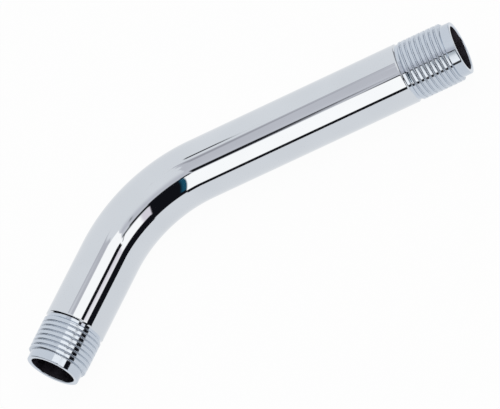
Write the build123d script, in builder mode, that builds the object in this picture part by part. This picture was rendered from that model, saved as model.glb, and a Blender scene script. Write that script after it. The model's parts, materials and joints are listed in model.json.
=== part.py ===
from build123d import *
from math import isclose, radians, tan
import os

# Shower arm: one length of half-inch pipe, bent once and threaded at both ends.
# Sizes are in millimetres. The arm lies on its side, with the bend in the XY plane and +Z up.
# The origin is the centre of the wall end's rim, and +X points out of that mouth.

# Pipe
pipe_diameter = 21.34
bore_diameter = 15.80

# Centre line: a straight run from the wall, one bend, and a straight run to the shower head
wall_run = 99.5
bend_radius = 50.8
bend_angle = 50
head_run = 45.5

# Threaded ends, measured along the pipe from each rim
wall_thread_end = 20.55
head_thread_end = 17.35
lead_diameter_at_rim = 18.9
lead_length = 3.3
rim_chamfer = 0.25
mouth_chamfer = 0.35

# Thread: the lead and the crests have its taper, and the crests end just under the pipe's diameter
taper_on_diameter = 1 / 16
crest_diameter_at_rim = 20.72
full_crest_diameter = 21.20
rise_angle = 75

# Run-out groove, which parts the crests from the bevelled edge of the polished pipe
groove_width = 1.9
groove_diameter = 20.3
bevel_length = 0.48
pipe_edge_radius = 0.28

# Values that follow from the sizes above
pipe_radius = pipe_diameter / 2
bore_radius = bore_diameter / 2
crest_radius = full_crest_diameter / 2
groove_radius = groove_diameter / 2
slope = taper_on_diameter / 2
rim_lead_radius = lead_diameter_at_rim / 2
rim_crest_radius = crest_diameter_at_rim / 2
# The first crest rises steeply from the lead until it meets the crests' taper
first_rise = (rim_crest_radius - rim_lead_radius) / (tan(radians(rise_angle)) - slope)
first_crest = lead_length + first_rise
full_crest = (crest_radius - rim_crest_radius) / slope
groove_flank = crest_radius - groove_radius
clear_of_pipe = pipe_radius + 1


def axial_plane(rim, inward):
    """The upright plane through a pipe end: x runs in from the rim and y is the radius."""
    return Plane(origin=rim, x_dir=inward, z_dir=inward.cross(Vector(0, 0, 1)))


def on_taper(rim_radius, inward):
    """The radius of a taper at a distance in from the rim."""
    return rim_radius + slope * inward


def turn_end(plane, thread_end):
    """Turns a pipe end down to its lead, taper crests, run-out groove and the pipe's bevel."""
    groove_start = thread_end - groove_width
    with BuildSketch(plane) as removed:
        with BuildLine():
            Polyline(
                (0, rim_lead_radius - rim_chamfer),
                (rim_chamfer, on_taper(rim_lead_radius, rim_chamfer)),
                (lead_length, on_taper(rim_lead_radius, lead_length)),
                (first_crest, on_taper(rim_crest_radius, first_crest)),
                (full_crest, crest_radius),
                (groove_start, crest_radius),
                (groove_start + groove_flank, groove_radius),
                (thread_end - bevel_length, groove_radius),
                (thread_end, pipe_radius),
                (thread_end, clear_of_pipe),
                (0, clear_of_pipe),
                close=True,
            )
        make_face()
    revolve(removed.sketch, axis=Axis(plane.origin, plane.x_dir), mode=Mode.SUBTRACT)


def round_edge(edges, radius, rim):
    """The circular edge of this radius that lies nearest to a rim."""
    circles = edges.filter_by(GeomType.CIRCLE)
    alike = circles.filter_by(lambda edge: isclose(edge.radius, radius, abs_tol=1e-4))
    return alike.sort_by_distance(rim)[0]


# The bent pipe, its turned ends, and the waterway at an even wall all the way round the bend
with BuildPart() as shower_arm:
    with BuildLine() as centre_line:
        from_wall = Line((0, 0), (-wall_run, 0))
        bend = JernArc(from_wall @ 1, from_wall % 1, bend_radius, bend_angle)
        Line(bend @ 1, bend @ 1 + (bend % 1) * head_run)
    path = centre_line.line
    wall_rim, head_rim = path @ 0, path @ 1

    with BuildSketch(Plane(origin=wall_rim, z_dir=path % 0)):
        Circle(pipe_radius)
    sweep(path=path)

    turn_end(axial_plane(wall_rim, path % 0), wall_thread_end)
    turn_end(axial_plane(head_rim, -(path % 1)), head_thread_end)

    # The polished pipe meets each bevel in a rounded edge
    for rim in (wall_rim, head_rim):
        fillet(round_edge(shower_arm.edges(), pipe_radius, rim), pipe_edge_radius)

    with BuildSketch(Plane(origin=wall_rim, z_dir=path % 0)):
        Circle(bore_radius)
    sweep(path=path, mode=Mode.SUBTRACT)

    # Each mouth has its inner corner broken
    for rim in (wall_rim, head_rim):
        chamfer(round_edge(shower_arm.edges(), bore_radius, rim), mouth_chamfer)

shower_arm.part.label = "shower_arm"

os.makedirs("parts", exist_ok=True)
export_step(shower_arm.part, "parts/shower_arm.step")
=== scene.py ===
"""A bent chrome shower arm with a taper pipe thread at each end, lying on a pale studio floor.

The arm is made as the real one is: a straight pipe is turned and threaded at both ends, and then bent once.
Lengths are in metres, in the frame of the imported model. "Along" is a distance down the straight pipe from
the wall end's rim, and "reach" is a distance in from the nearer rim.
"""

import json
import logging
import math
from dataclasses import dataclass
from enum import Enum
from typing import Any, NamedTuple

import bmesh
import bpy
from mathutils import Matrix, Vector
from mathutils.geometry import intersect_line_line

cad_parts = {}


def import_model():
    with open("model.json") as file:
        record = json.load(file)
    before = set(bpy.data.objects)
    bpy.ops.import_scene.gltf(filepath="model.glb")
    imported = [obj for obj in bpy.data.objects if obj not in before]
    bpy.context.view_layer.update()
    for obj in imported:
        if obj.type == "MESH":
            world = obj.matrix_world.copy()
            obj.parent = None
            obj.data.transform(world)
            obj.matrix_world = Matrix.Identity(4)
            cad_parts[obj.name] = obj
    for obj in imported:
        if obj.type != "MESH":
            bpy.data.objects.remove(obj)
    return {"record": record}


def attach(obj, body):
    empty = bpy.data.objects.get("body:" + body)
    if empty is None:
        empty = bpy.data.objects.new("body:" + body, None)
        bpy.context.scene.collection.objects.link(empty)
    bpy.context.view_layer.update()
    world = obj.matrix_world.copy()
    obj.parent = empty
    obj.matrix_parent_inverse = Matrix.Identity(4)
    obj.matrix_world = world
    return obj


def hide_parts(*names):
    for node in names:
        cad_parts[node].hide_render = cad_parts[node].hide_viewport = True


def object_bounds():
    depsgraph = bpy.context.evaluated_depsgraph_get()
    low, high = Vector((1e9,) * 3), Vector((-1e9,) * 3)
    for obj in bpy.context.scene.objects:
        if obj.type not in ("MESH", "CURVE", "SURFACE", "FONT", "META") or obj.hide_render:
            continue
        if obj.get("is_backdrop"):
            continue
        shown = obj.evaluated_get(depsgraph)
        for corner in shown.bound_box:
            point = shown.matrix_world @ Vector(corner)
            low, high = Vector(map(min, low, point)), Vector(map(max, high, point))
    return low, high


LOG = logging.getLogger("shower_arm")
MM = 0.001
INCH = 25.4 * MM
# The bend's radius at the middle of the pipe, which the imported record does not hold.
BEND_RADIUS = 50.8 * MM

Colour = tuple[float, float, float]


class Zone(Enum):
    """The parts of the arm's surface that have a finish of their own."""

    PIPE = 0
    THREAD = 1
    WATERWAY = 2


class Mark(Enum):
    """The measures that the arm's mesh carries for its finishes."""

    STRAIGHT = "straight_place"
    CUT = "thread_cut"


class NodeBench:
    """Lays and joins shader nodes in one node tree."""

    def __init__(self, tree: bpy.types.NodeTree) -> None:
        """Takes the node tree to work on."""
        self.tree = tree

    def lay(self, kind: str, inputs: dict[Any, Any] | None = None, **settings: Any) -> bpy.types.Node:
        """Adds a node, sets its own options and feeds its inputs.

        Args:
            kind: The node's type.
            inputs: Values or output sockets, by the name or number of the input they go to.
            settings: The node's own options.

        Returns:
            The new node.
        """
        node = self.tree.nodes.new(kind)
        for name, value in settings.items():
            setattr(node, name, value)
        for name, value in (inputs or {}).items():
            self.feed(node.inputs[name], value)
        return node

    def feed(self, socket: bpy.types.NodeSocket, value: Any) -> None:
        """Joins an output socket to an input, or sets the input to a plain value.

        Args:
            socket: The input.
            value: The output socket or the plain value.
        """
        if isinstance(value, bpy.types.NodeSocket):
            self.tree.links.new(value, socket)
        else:
            socket.default_value = value

    def sum(self, operation: str, first: Any, second: Any = 0.0) -> bpy.types.NodeSocket:
        """Lays one Math node and returns its result."""
        return self.lay("ShaderNodeMath", {0: first, 1: second}, operation=operation).outputs[0]

    def ramp(self, value: Any, start: float, end: float, low: float, high: float) -> bpy.types.NodeSocket:
        """Maps a value smoothly from one range to another.

        Args:
            value: The socket to read.
            start: The value at which the result is low.
            end: The value at which the result is high.
            low: The result at the start and before it.
            high: The result at the end and after it.

        Returns:
            The result's socket.
        """
        inputs = {"Value": value, "From Min": start, "From Max": end, "To Min": low, "To Max": high}
        node = self.lay("ShaderNodeMapRange", inputs, interpolation_type="SMOOTHSTEP")
        return node.outputs["Result"]

    def blend(self, share: Any, first: Any, second: Any) -> bpy.types.NodeSocket:
        """Mixes two colours.

        Args:
            share: How much of the second colour goes in, from 0 to 1.
            first: The first colour.
            second: The second colour.

        Returns:
            The mixed colour's socket.
        """
        node = self.lay("ShaderNodeMix", {"Factor": share}, data_type="RGBA")
        colours = [socket for socket in node.inputs if socket.type == "RGBA"]
        self.feed(colours[0], first)
        self.feed(colours[1], second)
        return next(socket for socket in node.outputs if socket.type == "RGBA")


def opaque(colour: Colour) -> tuple[float, float, float, float]:
    """Gives a colour the alpha that Blender's sockets take."""
    return (*colour, 1.0)


def soft_min(first: float, second: float, rounding: float) -> float:
    """The smaller of two lengths, with the corner where they cross rounded off."""
    return (first + second - math.hypot(first - second, rounding)) / 2


def soft_max(first: float, second: float, rounding: float) -> float:
    """The larger of two lengths, with the corner where they cross rounded off."""
    return (first + second + math.hypot(first - second, rounding)) / 2


def smooth_step(start: float, end: float, value: float) -> float:
    """Rises smoothly from 0 at the start to 1 at the end."""
    share = min(max((value - start) / (end - start), 0.0), 1.0)
    return share * share * (3 - 2 * share)


def new_group(name: str, inputs: dict[str, str], outputs: dict[str, str]) -> tuple[NodeBench, Any, Any]:
    """Makes a shader node group with named sockets.

    Args:
        name: The group's name.
        inputs: The type of each input socket, by name.
        outputs: The type of each output socket, by name.

    Returns:
        The bench to lay its nodes on, its input node and its output node.
    """
    tree = bpy.data.node_groups.new(name, "ShaderNodeTree")
    for socket, kind in inputs.items():
        tree.interface.new_socket(socket, in_out="INPUT", socket_type=kind)
    for socket, kind in outputs.items():
        tree.interface.new_socket(socket, in_out="OUTPUT", socket_type=kind)
    bench = NodeBench(tree)
    return bench, bench.lay("NodeGroupInput"), bench.lay("NodeGroupOutput")


@dataclass(frozen=True)
class Mount:
    """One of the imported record's round mounts."""

    centre: Vector
    axis: Vector
    radius: float
    length: float

    @classmethod
    def named(cls, record: dict[str, Any], name: str) -> "Mount":
        """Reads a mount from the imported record.

        Args:
            record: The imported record.
            name: The mount's name there.

        Returns:
            The mount, in metres.
        """
        found = next(mount for mount in record["mounts"] if mount["name"] == name)
        sizes = found["dims"]
        return cls(
            Vector(found["pos_m"]),
            Vector(found["axis"]),
            sizes["r_mm"] * MM,
            sizes["length_mm"] * MM,
        )


@dataclass(frozen=True)
class CentreLine:
    """The middle of the pipe: a run from the wall along -X, one bend about Z, and a run to the head."""

    wall_run: float
    bend_radius: float
    bend_angle: float
    head_run: float

    @classmethod
    def between(cls, wall: Mount, head: Mount, bend_radius: float) -> "CentreLine":
        """Works the runs out from the two mouths.

        Args:
            wall: The mouth at the wall end, with its axis pointing out.
            head: The mouth at the head end, with its axis pointing out.
            bend_radius: The radius of the bend, at the middle of the pipe.

        Returns:
            The centre line from rim to rim.
        """
        corner, _ = intersect_line_line(
            wall.centre, wall.centre - wall.axis, head.centre, head.centre - head.axis
        )
        angle = (-wall.axis).angle(head.axis)
        tangent = bend_radius * math.tan(angle / 2)
        return cls(
            (corner - wall.centre).length - tangent,
            bend_radius,
            angle,
            (corner - head.centre).length - tangent,
        )

    @property
    def bend_end(self) -> float:
        """How far along the bend ends."""
        return self.wall_run + self.bend_radius * self.bend_angle

    @property
    def length(self) -> float:
        """The length of the straight pipe, from rim to rim."""
        return self.bend_end + self.head_run

    def place(self, along: float) -> Matrix:
        """Finds where bending takes one ring of the straight pipe.

        Args:
            along: The ring's distance along the straight pipe.

        Returns:
            The move that carries the ring there.
        """
        bent = min(max(along, self.wall_run), self.bend_end) - self.wall_run
        middle = Vector((-self.wall_run, -self.bend_radius, 0))
        turn = Matrix.Rotation(bent / self.bend_radius, 4, "Z")
        back_to_bend = Matrix.Translation((bent, 0, 0))
        return Matrix.Translation(middle) @ turn @ Matrix.Translation(-middle) @ back_to_bend


@dataclass(frozen=True)
class PipeThread:
    """A right-hand pipe thread with 60 degree flanks, 14 to the inch."""

    depth: float
    root_flat: float
    pitch: float = INCH / 14
    half_flank_angle: float = math.radians(30)
    rounding: float = 0.03 * MM
    run_out: float = 0.6 * MM

    def groove(self, crest: float, turns: float) -> float:
        """Finds the radius of the groove's sides, as if they ran on upwards.

        Args:
            crest: The radius of the crests.
            turns: The place along the helix, which is whole in the middle of the groove.

        Returns:
            The radius, which is above the crests between two turns of the groove.
        """
        from_middle = (0.5 - abs(turns % 1 - 0.5)) * self.pitch
        up_the_flank = soft_max(from_middle - self.root_flat / 2, 0, self.rounding)
        return crest - self.depth + up_the_flank / math.tan(self.half_flank_angle)


WALL_THREAD = PipeThread(depth=0.42 * MM, root_flat=0.36 * MM)
HEAD_THREAD = PipeThread(depth=0.4 * MM, root_flat=0.2 * MM)


class Corner(NamedTuple):
    """A corner of the turned profile, and how closely rings follow on from it."""

    along: float
    radius: float
    ring_gap: float | None = None


def turned_about(corners: list[Corner], length: float) -> list[Corner]:
    """Turns an end's profile about, to run up to the far rim.

    Args:
        corners: The profile in from the wall end's rim.
        length: The length of the straight pipe.

    Returns:
        The same profile at the far end.
    """
    gaps = [None, *(corner.ring_gap for corner in corners[:-1])]
    far = [Corner(length - corner.along, corner.radius, gap) for corner, gap in zip(corners, gaps)]
    return far[::-1]


@dataclass(frozen=True)
class ThreadedEnd:
    """One turned end of the pipe, from its rim to the polished pipe.

    Places are distances in from the rim, and the taper is how fast a radius grows with them.
    """

    thread: PipeThread
    full_crest: float
    crest_end: float
    crest_radius: float
    pipe_radius: float
    taper: float = 1 / 32
    lead_radius: float = 9.45 * MM
    lead_length: float = 3.3 * MM
    rise_angle: float = math.radians(75)
    groove_width: float = 1.9 * MM
    groove_radius: float = 10.15 * MM
    bevel_length: float = 0.48 * MM
    bevel_foot: float = 0.1
    edge_rounding: float = 0.12 * MM
    corner_guard: float = 0.45 * MM
    ring_gap: float = 0.06 * MM

    @classmethod
    def at(cls, mouth: Mount, crests: Mount, pipe: Mount, thread: PipeThread) -> "ThreadedEnd":
        """Reads an end's places from its mounts.

        Args:
            mouth: The bore's mouth, at the rim.
            crests: The run of full crests.
            pipe: The plain polished pipe.
            thread: The thread that is cut on the end.

        Returns:
            The end.
        """
        middle = (crests.centre - mouth.centre).length
        half = crests.length / 2
        return cls(thread, middle - half, middle + half, crests.radius, pipe.radius)

    @property
    def thread_end(self) -> float:
        """Where the pipe has its full diameter."""
        return self.crest_end + self.groove_width

    @property
    def bevel_start(self) -> float:
        """Where the pipe's bevelled edge starts to rise from the run-out groove."""
        return self.thread_end - self.bevel_length

    @property
    def first_crest(self) -> float:
        """Where the first crest has risen from the lead."""
        rise = (self.crest(0) - self.lead(0)) / (math.tan(self.rise_angle) - self.taper)
        return self.lead_length + rise

    def lead(self, reach: float) -> float:
        """The radius of the smooth lead."""
        return self.lead_radius + self.taper * reach

    def crest(self, reach: float) -> float:
        """The radius of the crests, which taper up to the full crest."""
        return self.crest_radius - self.taper * max(self.full_crest - reach, 0)

    def corners(self) -> list[Corner]:
        """Draws the turned profile.

        Returns:
            The corners, from the rim's outer corner to just past the pipe's edge.
        """
        groove_foot = self.crest_end + self.crest_radius - self.groove_radius
        bevel_height = self.pipe_radius - self.groove_radius
        guard = self.corner_guard
        return [
            Corner(0, self.lead(0)),
            Corner(guard, self.lead(guard)),
            Corner(self.lead_length - guard, self.lead(self.lead_length - guard)),
            Corner(self.lead_length, self.lead(self.lead_length), self.ring_gap),
            Corner(self.first_crest, self.crest(self.first_crest), self.ring_gap),
            Corner(self.full_crest, self.crest_radius, self.ring_gap),
            Corner(self.crest_end, self.crest_radius, self.ring_gap),
            Corner(groove_foot, self.groove_radius),
            Corner(groove_foot + self.ring_gap, self.groove_radius),
            Corner(self.bevel_start - self.ring_gap, self.groove_radius),
            Corner(self.bevel_start, self.groove_radius),
            Corner(
                self.bevel_start + self.bevel_foot * self.bevel_length,
                self.groove_radius + self.bevel_foot * bevel_height,
            ),
            Corner(self.thread_end, self.pipe_radius),
            Corner(self.thread_end + guard, self.pipe_radius),
        ]

    def threaded(self, blank: float, reach: float, turns: float) -> float:
        """Cuts the thread at one point of the turned end.

        Args:
            blank: The turned end's radius at the point.
            reach: The point's distance in from the rim.
            turns: The point's place along the helix, growing inwards and whole in the middle of the groove.

        Returns:
            The radius that is left. Past the full crest, each crest still leans with the thread's taper.
        """
        thread = self.thread
        left_of_crest = thread.pitch * (1 - turns % 1)
        lean = self.taper * max(left_of_crest - max(self.full_crest - reach, 0), 0)
        cut = blank - soft_min(blank - lean, thread.groove(self.crest(reach), turns), thread.rounding)
        return blank - cut * smooth_step(self.crest_end, self.crest_end - thread.run_out, reach)


@dataclass(frozen=True)
class PolishMarks:
    """The faint unevenness that drawing and polishing leave on the pipe, as a node group."""

    name: str = "polish_marks"
    wave_scale: float = 70.0
    wave_detail: float = 1.0
    streak_scale: float = 420.0
    streak_detail: float = 3.0
    streak_stretch: float = 0.06
    faint: float = 0.3
    strong: float = 0.7

    def group(self) -> bpy.types.NodeTree:
        """Makes the group once and returns it after that."""
        made = bpy.data.node_groups.get(self.name)
        return made or self.lay_nodes()

    def lay_nodes(self) -> bpy.types.NodeTree:
        """Lays the group's nodes: slow waves, and long streaks down the pipe.

        Returns:
            The group.
        """
        bench, given, result = new_group(
            self.name,
            {"Place": "NodeSocketVector"},
            {"Wave": "NodeSocketFloat", "Streak": "NodeSocketFloat"},
        )
        place = given.outputs["Place"]
        stretch = {"Vector": place, "Scale": (self.streak_stretch, 1.0, 1.0)}
        stretched = bench.lay("ShaderNodeMapping", stretch).outputs["Vector"]
        noises = {
            "Wave": {"Vector": place, "Scale": self.wave_scale, "Detail": self.wave_detail},
            "Streak": {"Vector": stretched, "Scale": self.streak_scale, "Detail": self.streak_detail},
        }
        for name, inputs in noises.items():
            noise = bench.lay("ShaderNodeTexNoise", inputs).outputs[0]
            bench.feed(result.inputs[name], bench.ramp(noise, self.faint, self.strong, 0.0, 1.0))
        return bench.tree


@dataclass(frozen=True)
class MetalFinish:
    """Bare or plated metal, whose tint drifts in slow waves and whose shine drifts in fine streaks."""

    name: str
    tint: Colour
    deep_tint: Colour
    roughness: float
    haze: float
    wave_height: float
    streak_height: float

    def colour(self, bench: NodeBench, marks: Any) -> bpy.types.NodeSocket:
        """Drifts from one tint to the other along the waves."""
        return bench.blend(marks["Wave"], opaque(self.tint), opaque(self.deep_tint))

    def dullness(self, bench: NodeBench, marks: Any) -> bpy.types.NodeSocket:
        """Drifts from the plain roughness to the haziest along the streaks."""
        return bench.ramp(marks["Streak"], 0.0, 1.0, self.roughness, self.roughness + self.haze)

    def material(self) -> bpy.types.Material:
        """Makes the finish's material.

        Returns:
            The material, with a bump of the waves and streaks.
        """
        made = bpy.data.materials.new(self.name)
        made.use_nodes = True
        made.node_tree.nodes.clear()
        bench = NodeBench(made.node_tree)
        place = bench.lay("ShaderNodeAttribute", attribute_name=Mark.STRAIGHT.value).outputs["Vector"]
        group = bench.lay("ShaderNodeGroup", node_tree=PolishMarks().group())
        bench.feed(group.inputs["Place"], place)
        marks = group.outputs
        height = bench.sum(
            "ADD",
            bench.sum("MULTIPLY", marks["Wave"], self.wave_height),
            bench.sum("MULTIPLY", marks["Streak"], self.streak_height),
        )
        bump = bench.lay("ShaderNodeBump", {"Height": height, "Distance": 1.0, "Strength": 1.0})
        shader = bench.lay(
            "ShaderNodeBsdfPrincipled",
            {
                "Base Color": self.colour(bench, marks),
                "Metallic": 1.0,
                "Roughness": self.dullness(bench, marks),
                "Normal": bump.outputs["Normal"],
            },
        )
        bench.lay("ShaderNodeOutputMaterial", {"Surface": shader.outputs["BSDF"]})
        return made


@dataclass(frozen=True)
class ThreadFinish(MetalFinish):
    """Plated metal that is duller towards a thread's roots and painted lighter there, a painted lift
    against the shade that the roots get between the turns.

    Root level is the share of the thread's depth below which all is root.
    """

    root_painted_lift: Colour
    root_dulling: float
    root_level: float

    def in_root(self, bench: NodeBench) -> bpy.types.NodeSocket:
        """Rises from 0 on the crests to 1 at the root level."""
        cut = bench.lay("ShaderNodeAttribute", attribute_name=Mark.CUT.value).outputs["Fac"]
        return bench.ramp(cut, 0.0, self.root_level, 0.0, 1.0)

    def colour(self, bench: NodeBench, marks: Any) -> bpy.types.NodeSocket:
        """Paints the roots lighter than the crests, as painted light against the shade between the turns.
        """
        return bench.blend(self.in_root(bench), super().colour(bench, marks), opaque(self.root_painted_lift))

    def dullness(self, bench: NodeBench, marks: Any) -> bpy.types.NodeSocket:
        """Dulls the plate towards the roots."""
        dulled = bench.sum("MULTIPLY", self.in_root(bench), self.root_dulling)
        return bench.sum("ADD", super().dullness(bench, marks), dulled)


POLISHED_PIPE = MetalFinish(
    name="polished_chrome",
    tint=(0.625, 0.66, 0.705),
    deep_tint=(0.61, 0.645, 0.69),
    roughness=0.02,
    haze=0.03,
    wave_height=3e-6,
    streak_height=4e-7,
)
PLATED_THREAD = ThreadFinish(
    name="plated_thread",
    tint=(0.54, 0.595, 0.67),
    deep_tint=(0.52, 0.575, 0.65),
    roughness=0.05,
    haze=0.05,
    wave_height=2e-6,
    streak_height=8e-7,
    # Painted light: the roots are a little lighter than the plate's tint, to lift the shade that falls
    # between the turns.
    root_painted_lift=(0.56, 0.615, 0.69),
    root_dulling=0.3,
    root_level=0.6,
)
RAW_WATERWAY = MetalFinish(
    name="raw_waterway",
    tint=(0.14, 0.125, 0.15),
    deep_tint=(0.07, 0.065, 0.08),
    roughness=0.4,
    haze=0.2,
    wave_height=6e-6,
    streak_height=4e-6,
)


@dataclass
class ShowerArm:
    """The arm itself: one bent pipe, open from mouth to mouth."""

    centre_line: CentreLine
    wall_end: ThreadedEnd
    head_end: ThreadedEnd
    bore_radius: float
    name: str = "shower_arm_chrome"
    segments: int = 144
    bend_rings: int = 72
    bore_bend_rings: int = 36
    bend_margin: float = 0.5 * MM
    rim_rounding: float = 0.25 * MM
    mouth_rounding: float = 0.35 * MM
    rounding_steps: int = 5
    round_profile: float = 0.5
    near: float = 0.01 * MM
    weld: float = 0.0001 * MM
    ring_digits: int = 8

    @classmethod
    def from_record(cls, record: dict[str, Any], bend_radius: float) -> "ShowerArm":
        """Works the arm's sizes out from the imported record.

        Args:
            record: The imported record, whose mounts hold the mouths, the threads and the pipe.
            bend_radius: The radius of the bend, at the middle of the pipe.

        Returns:
            The arm, not yet built.
        """
        wall = Mount.named(record, "wall_bore")
        head = Mount.named(record, "head_bore")
        pipe = Mount.named(record, "flange_seat")
        return cls(
            CentreLine.between(wall, head, bend_radius),
            ThreadedEnd.at(wall, Mount.named(record, "wall_thread"), pipe, WALL_THREAD),
            ThreadedEnd.at(head, Mount.named(record, "head_thread"), pipe, HEAD_THREAD),
            wall.radius,
        )

    def end_near(self, along: float) -> tuple[ThreadedEnd, float]:
        """Finds the nearer end of the pipe, and the distance in from its rim."""
        from_head = self.centre_line.length - along
        return (self.wall_end, along) if along < from_head else (self.head_end, from_head)

    def mouth(self, end: ThreadedEnd, rim: float, inward: int) -> list[Corner]:
        """Draws the face of one rim, and the bore's mouth in it.

        Args:
            end: The end that the rim belongs to.
            rim: The rim's distance along the pipe.
            inward: 1 where the pipe runs on from the rim, and -1 where it runs back.

        Returns:
            The corners, from the rim's outer edge to just inside the bore.
        """
        guard = end.corner_guard
        return [
            Corner(rim, end.lead_radius - guard),
            Corner(rim, self.bore_radius + guard),
            Corner(rim, self.bore_radius),
            Corner(rim + inward * guard, self.bore_radius),
        ]

    def profile(self) -> list[Corner]:
        """Draws the pipe's wall, cut down its length.

        Returns:
            The corners, out along the outside and back along the bore.
        """
        line = self.centre_line
        bend_length = line.bend_end - line.wall_run
        pipe_radius = self.wall_end.pipe_radius
        outer_bend = [
            Corner(line.wall_run - self.bend_margin, pipe_radius),
            Corner(line.wall_run, pipe_radius, bend_length / self.bend_rings),
            Corner(line.bend_end, pipe_radius),
            Corner(line.bend_end + self.bend_margin, pipe_radius),
        ]
        bore_bend = [
            Corner(line.bend_end, self.bore_radius, bend_length / self.bore_bend_rings),
            Corner(line.wall_run, self.bore_radius),
        ]
        return [
            *self.wall_end.corners(),
            *outer_bend,
            *turned_about(self.head_end.corners(), line.length),
            *self.mouth(self.head_end, line.length, -1),
            *bore_bend,
            *reversed(self.mouth(self.wall_end, 0.0, 1)),
        ]

    def draw(self, work: bmesh.types.BMesh) -> None:
        """Draws the closed profile as a chain of edges, with a point for every ring of the pipe.

        Args:
            work: The empty mesh to draw in.
        """
        corners = self.profile()
        tip = work.verts.new((-corners[0].along, corners[0].radius, 0))
        for corner, following in zip(corners, [*corners[1:], corners[0]]):
            start = Vector((-corner.along, corner.radius, 0))
            end = Vector((-following.along, following.radius, 0))
            steps = max(round((end - start).length / corner.ring_gap), 1) if corner.ring_gap else 1
            for step in range(1, steps + 1):
                tip = bmesh.ops.extrude_vert_indiv(work, verts=[tip])["verts"][0]
                tip.co = start.lerp(end, step / steps)

    def turn(self, work: bmesh.types.BMesh) -> None:
        """Turns the straight pipe from its profile, as on a lathe.

        Args:
            work: The empty mesh to turn it in.
        """
        self.draw(work)
        bmesh.ops.spin(
            work,
            geom=[*work.verts, *work.edges],
            cent=(0, 0, 0),
            axis=(1, 0, 0),
            dvec=(0, 0, 0),
            angle=math.tau,
            steps=self.segments,
            use_merge=True,
        )
        bmesh.ops.remove_doubles(work, verts=work.verts, dist=self.weld)
        bmesh.ops.recalc_face_normals(work, faces=work.faces)

    def ring(self, work: bmesh.types.BMesh, along: float, radius: float) -> list[bmesh.types.BMEdge]:
        """Finds the edges of one turned corner of the straight pipe.

        Args:
            work: The mesh.
            along: The corner's distance along the pipe.
            radius: The corner's radius.

        Returns:
            The edges that run round the corner.
        """
        on_corner = {
            vert
            for vert in work.verts
            if abs(vert.co.x + along) < self.near and abs(vert.co.yz.length - radius) < self.near
        }
        return [edge for edge in work.edges if on_corner.issuperset(edge.verts)]

    def round_off(self, work: bmesh.types.BMesh, along: float, radius: float, size: float) -> None:
        """Rounds one turned corner of the straight pipe.

        Args:
            work: The mesh.
            along: The corner's distance along the pipe.
            radius: The corner's radius.
            size: How far the rounding reaches from the corner.
        """
        bmesh.ops.bevel(
            work,
            geom=self.ring(work, along, radius),
            offset=size,
            offset_type="OFFSET",
            segments=self.rounding_steps,
            profile=self.round_profile,
            affect="EDGES",
        )

    def soften(self, work: bmesh.types.BMesh) -> None:
        """Rounds the rims, the mouths and the pipe's edges, and keeps the step at the first crest sharp.

        Args:
            work: The mesh of the straight pipe.
        """
        length = self.centre_line.length
        for end, rim, inward in ((self.wall_end, 0.0, 1), (self.head_end, length, -1)):
            self.round_off(work, rim, end.lead_radius, self.rim_rounding)
            self.round_off(work, rim, self.bore_radius, self.mouth_rounding)
            self.round_off(work, rim + inward * end.thread_end, end.pipe_radius, end.edge_rounding)
            foot = self.ring(work, rim + inward * end.lead_length, end.lead(end.lead_length))
            top = self.ring(work, rim + inward * end.first_crest, end.crest(end.first_crest))
            for edge in (*foot, *top):
                edge.smooth = False

    def cut_threads(self, work: bmesh.types.BMesh) -> None:
        """Cuts both threads into the turned ends, and marks how deep each point lies below the crests.

        Args:
            work: The mesh of the straight pipe.
        """
        cut_mark = work.verts.layers.float[Mark.CUT.value]
        for vert in work.verts:
            along, blank = -vert.co.x, vert.co.yz.length
            end, reach = self.end_near(along)
            if blank < end.lead_radius or not end.lead_length < reach < end.crest_end:
                continue
            helix = along / end.thread.pitch + math.atan2(vert.co.z, vert.co.y) / math.tau
            left = end.threaded(blank, reach, helix if end is self.wall_end else -helix)
            vert.co.y *= left / blank
            vert.co.z *= left / blank
            vert[cut_mark] = min((end.crest(reach) - left) / end.thread.depth, 1.0)

    def mark_zones(self, work: bmesh.types.BMesh) -> None:
        """Gives each face of the straight pipe its zone, and each point its place on the straight pipe.

        Args:
            work: The mesh of the straight pipe.
        """
        straight_mark = work.verts.layers.float_vector[Mark.STRAIGHT.value]
        for vert in work.verts:
            vert[straight_mark] = vert.co
        for face in work.faces:
            middle = face.calc_center_median()
            end, reach = self.end_near(-middle.x)
            zone = Zone.PIPE
            if middle.yz.length < self.bore_radius:
                zone = Zone.WATERWAY
            elif reach < end.bevel_start:
                zone = Zone.THREAD
            face.material_index = zone.value
            face.smooth = True

    def bend(self, work: bmesh.types.BMesh) -> None:
        """Bends the straight pipe, ring by ring.

        Args:
            work: The mesh of the straight pipe.
        """
        rings: dict[float, list[bmesh.types.BMVert]] = {}
        for vert in work.verts:
            rings.setdefault(round(-vert.co.x, self.ring_digits), []).append(vert)
        for along, ring in rings.items():
            if along > self.centre_line.wall_run:
                bmesh.ops.transform(work, matrix=self.centre_line.place(along), verts=ring)

    def build(self) -> bpy.types.Object:
        """Makes the arm's mesh and dresses it.

        Returns:
            The finished piece, standing for the CAD node and riding on the root body.
        """
        work = bmesh.new()
        work.verts.layers.float_vector.new(Mark.STRAIGHT.value)
        work.verts.layers.float.new(Mark.CUT.value)
        self.turn(work)
        self.soften(work)
        self.cut_threads(work)
        self.mark_zones(work)
        self.bend(work)
        mesh = bpy.data.meshes.new(self.name)
        work.to_mesh(mesh)
        work.free()
        return self.dress(mesh)

    def dress(self, mesh: bpy.types.Mesh) -> bpy.types.Object:
        """Gives the mesh its finishes and its place in the frame.

        Args:
            mesh: The arm's mesh.

        Returns:
            The finished piece.
        """
        finishes = {Zone.PIPE: POLISHED_PIPE, Zone.THREAD: PLATED_THREAD, Zone.WATERWAY: RAW_WATERWAY}
        for zone in Zone:
            mesh.materials.append(finishes[zone].material())
        piece = bpy.data.objects.new(self.name, mesh)
        bpy.context.scene.collection.objects.link(piece)
        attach(piece, "root")
        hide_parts("shower_arm")
        return piece


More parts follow.
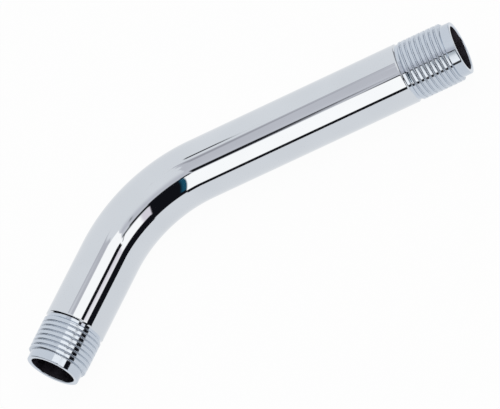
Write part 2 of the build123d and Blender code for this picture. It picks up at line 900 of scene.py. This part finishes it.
@dataclass(frozen=True)
class Panel:
    """A soft-edged panel of the studio, by the directions that it fills.

    West and east are degrees round from the -Y side, growing towards +X, and south and north are degrees up
    from the floor. Lean is how far the panel's sides shift east for each degree above its south edge, and
    feather is how many degrees an edge fades on either side.
    """

    name: str
    west: float
    east: float
    south: float
    north: float
    colour: Colour
    lean: float = 0.0
    feather: float = 1.0


WHITE: Colour = (1.0, 1.0, 1.0)
BLACK: Colour = (0.008, 0.008, 0.011)
SOFTBOX: Colour = (1.50, 1.45, 1.38)
LILAC: Colour = (1.02, 0.93, 0.97)

STUDIO_PANELS = (
    Panel("canopy", -45, 72, 51, 66, (0.72, 0.71, 0.75), feather=9),
    Panel("ceiling_low", -60, -16.5, 57, 66.5, (0.79, 0.78, 0.81), lean=-0.95, feather=0.7),
    Panel("ceiling_slope", -115, -25, 66, 73, (0.75, 0.74, 0.77), lean=-1.8, feather=0.7),
    Panel("ceiling", -131, -33, 72, 78.5, (0.74, 0.73, 0.76), lean=-3.5, feather=0.4),
    Panel("ceiling_lamp", -160, -130.5, 74.6, 79.5, WHITE, lean=3.4, feather=0.6),
    Panel("ceiling_edge", -140.4, -116, 72, 74.4, (0.64, 0.63, 0.66), lean=2.1, feather=0.7),
    Panel("ceiling_rim", -123, -96, 73.5, 75.9, (0.47, 0.46, 0.49), feather=0.9),
    Panel("ceiling_slot", -149.6, -138, 62.1, 66.1, (0.05, 0.05, 0.06), lean=1.2, feather=0.6),
    Panel("side_ceiling", 97, 150, 67.5, 73, (0.68, 0.67, 0.70), lean=3.2),
    Panel("left_gap", -132, -28, 0.5, 46, BLACK, feather=2),
    Panel("right_gap", 80, 178, -12, 22, (0.35, 0.35, 0.37), feather=2),
    Panel("camera_opening", -12, 33.7, -2.5, 52.5, BLACK, lean=-0.085, feather=1.2),
    Panel("teal_curtain", -8, 2, 8, 50, (0.014, 0.10, 0.165), lean=-0.2, feather=2),
    Panel("left_reflector", -19, -2.2, 3.5, 49.5, SOFTBOX, lean=-0.2, feather=0.8),
    Panel("left_bar", -36, -20.8, 51, 59.5, BLACK, lean=-0.35, feather=1.2),
    Panel("left_rod", -18.8, -8, 49.5, 53.5, BLACK, lean=-0.3, feather=0.8),
    Panel("bar_over_softbox", 28, 54, 44, 51, BLACK, feather=1.8),
    Panel("bar_end", 50, 64.5, 43.5, 48.5, (0.12, 0.13, 0.13), feather=2),
    Panel("right_softbox", 30.5, 80, 15.5, 43, LILAC, lean=-0.085, feather=1),
    Panel("softbox_lamp", 39.5, 68.5, 16, 43, SOFTBOX, feather=2.5),
    Panel("low_flag", 31, 80, -12, 17.5, BLACK, feather=1.2),
    Panel("side_reflector", 64.5, 110, 40, 56, SOFTBOX, lean=0.15),
    Panel("side_reflector_top", 66, 125, 55, 68.5, SOFTBOX, lean=1.0),
    Panel("reflector_joint", 63.7, 65.3, 36.5, 45, (0.13, 0.13, 0.15), lean=-0.45, feather=0.5),
    Panel("side_flag", 65.9, 80, 31.5, 41.5, BLACK, lean=0.2, feather=0.5),
    Panel("canopy_lamp", 50.5, 55.5, 59, 63.5, (0.33, 0.34, 0.34), feather=2.5),
    Panel("skirting", -35, -2, -12, 3.5, BLACK, feather=1.2),
)


@dataclass(frozen=True)
class Studio:
    """The plain pale floor and the soft light round it."""

    floor_level: float
    floor_front: float = -0.145
    floor_size: float = 3.0
    floor_tint: Colour = (0.9, 0.9, 0.9)
    floor_glow: float = 0.96
    panels: tuple[Panel, ...] = STUDIO_PANELS

    def lay_floor(self) -> bpy.types.Object:
        """Lays a pale sheet that keeps the arm's shadow, with its front edge just past the picture.

        Returns:
            The floor.
        """
        work = bmesh.new()
        half = self.floor_size / 2
        bmesh.ops.create_grid(work, x_segments=1, y_segments=1, size=half)
        bmesh.ops.translate(work, vec=(0, self.floor_front + half, self.floor_level), verts=work.verts)
        mesh = bpy.data.meshes.new("floor")
        work.to_mesh(mesh)
        work.free()
        mesh.materials.append(self.floor_material())
        floor = bpy.data.objects.new("floor", mesh)
        bpy.context.scene.collection.objects.link(floor)
        floor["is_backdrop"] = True
        return floor

    def floor_material(self) -> bpy.types.Material:
        """Makes matt white card, lifted towards white for the camera and for what metal mirrors.

        Returns:
            The material.
        """
        made = bpy.data.materials.new("white_card")
        made.use_nodes = True
        made.node_tree.nodes.clear()
        bench = NodeBench(made.node_tree)
        ray = bench.lay("ShaderNodeLightPath").outputs
        seen = bench.sum("MAXIMUM", ray["Is Camera Ray"], ray["Is Glossy Ray"])
        seen = bench.sum("MAXIMUM", seen, ray["Is Transmission Ray"])
        card = bench.lay("ShaderNodeBsdfDiffuse", {"Color": opaque(self.floor_tint)})
        glow = bench.lay("ShaderNodeEmission", {"Color": opaque(WHITE), "Strength": 1.0})
        lift = bench.sum("MULTIPLY", seen, self.floor_glow)
        mixed = bench.lay("ShaderNodeMixShader", {0: lift, 1: card.outputs[0], 2: glow.outputs[0]})
        bench.lay("ShaderNodeOutputMaterial", {"Surface": mixed.outputs[0]})
        return made

    def panel_group(self) -> bpy.types.NodeTree:
        """Makes the node group that finds how far a direction lies on a panel.

        Returns:
            The group.
        """
        names = ("Round", "Up", "West", "East", "South", "North", "Lean", "Feather")
        bench, given, result = new_group(
            "studio_panel", {name: "NodeSocketFloat" for name in names}, {"Cover": "NodeSocketFloat"}
        )
        value = given.outputs
        climb = bench.sum("SUBTRACT", value["Up"], value["South"])
        upright = bench.sum("SUBTRACT", value["Round"], bench.sum("MULTIPLY", climb, value["Lean"]))
        past_edges = (
            bench.sum("SUBTRACT", upright, value["West"]),
            bench.sum("SUBTRACT", value["East"], upright),
            climb,
            bench.sum("SUBTRACT", value["North"], value["Up"]),
        )
        cover: Any = 1.0
        for past in past_edges:
            share = bench.ramp(bench.sum("DIVIDE", past, value["Feather"]), -1.0, 1.0, 0.0, 1.0)
            cover = bench.sum("MULTIPLY", cover, share)
        bench.feed(result.inputs["Cover"], cover)
        return bench.tree

    def hang_panels(self) -> None:
        """Lights the arm from a white room with soft panels and dark flags in it."""
        world = bpy.data.worlds.new("studio")
        bpy.context.scene.world = world
        world.use_nodes = True
        world.node_tree.nodes.clear()
        bench = NodeBench(world.node_tree)
        direction = bench.lay("ShaderNodeTexCoord").outputs["Generated"]
        axes = bench.lay("ShaderNodeSeparateXYZ", {"Vector": direction}).outputs
        to_front = bench.sum("MULTIPLY", axes["Y"], -1.0)
        turn = bench.sum("DEGREES", bench.sum("ARCTAN2", axes["X"], to_front))
        climb = bench.sum("DEGREES", bench.sum("ARCSINE", axes["Z"]))
        group = self.panel_group()
        room: Any = opaque(WHITE)
        for panel in self.panels:
            cover = bench.lay("ShaderNodeGroup", node_tree=group, label=panel.name)
            sizes = {
                "Round": turn,
                "Up": climb,
                "West": panel.west,
                "East": panel.east,
                "South": panel.south,
                "North": panel.north,
                "Lean": panel.lean,
                "Feather": panel.feather,
            }
            for name, value in sizes.items():
                bench.feed(cover.inputs[name], value)
            room = bench.blend(cover.outputs["Cover"], room, opaque(panel.colour))
        to_camera = bench.lay("ShaderNodeLightPath").outputs["Is Camera Ray"]
        seen = bench.blend(to_camera, room, opaque(WHITE))
        background = bench.lay("ShaderNodeBackground", {"Color": seen, "Strength": 1.0})
        bench.lay("ShaderNodeOutputWorld", {"Surface": background.outputs[0]})


@dataclass(frozen=True)
class PhotoCamera:
    """A camera far off with a long lens, looking down on the arm and rolled so that the arm runs uphill."""

    aim: tuple[float, float, float] = (-85.57 * MM, -23.35 * MM, 0.0)
    distance: float = 1.6882
    azimuth: float = math.radians(-69.08)
    elevation: float = math.radians(48.32)
    roll: float = math.radians(40.88)
    lens: float = 360.0
    sensor_width: float = 36.0

    def set_up(self) -> bpy.types.Object:
        """Makes the camera and points it at the arm.

        Returns:
            The scene's camera.
        """
        back = Vector(
            (
                math.cos(self.elevation) * math.cos(self.azimuth),
                math.cos(self.elevation) * math.sin(self.azimuth),
                math.sin(self.elevation),
            )
        )
        level = back.to_track_quat("Z", "Y")
        data = bpy.data.cameras.new("camera")
        data.lens = self.lens
        data.sensor_width = self.sensor_width
        camera = bpy.data.objects.new("camera", data)
        bpy.context.scene.collection.objects.link(camera)
        camera.rotation_mode = "QUATERNION"
        camera.location = Vector(self.aim) + back * self.distance
        camera.rotation_quaternion = level @ Matrix.Rotation(-self.roll, 3, "Z").to_quaternion()
        bpy.context.scene.camera = camera
        return camera


def main() -> None:
    """Builds the arm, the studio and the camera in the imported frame."""
    logging.basicConfig(level=logging.INFO, format="%(message)s")
    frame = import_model()
    cad_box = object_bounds()
    bpy.context.scene.view_settings.view_transform = "Standard"

    arm = ShowerArm.from_record(frame["record"], BEND_RADIUS)
    piece = arm.build()
    LOG.info("%s: %d faces", piece.name, len(piece.data.polygons))

    studio = Studio(floor_level=cad_box[0].z)
    floor = studio.lay_floor()
    studio.hang_panels()
    LOG.info("%s at %.4f m", floor.name, studio.floor_level)

    camera = PhotoCamera().set_up()
    LOG.info("%s with a %.0f mm lens", camera.name, camera.data.lens)


if __name__ == "__main__":
    main()
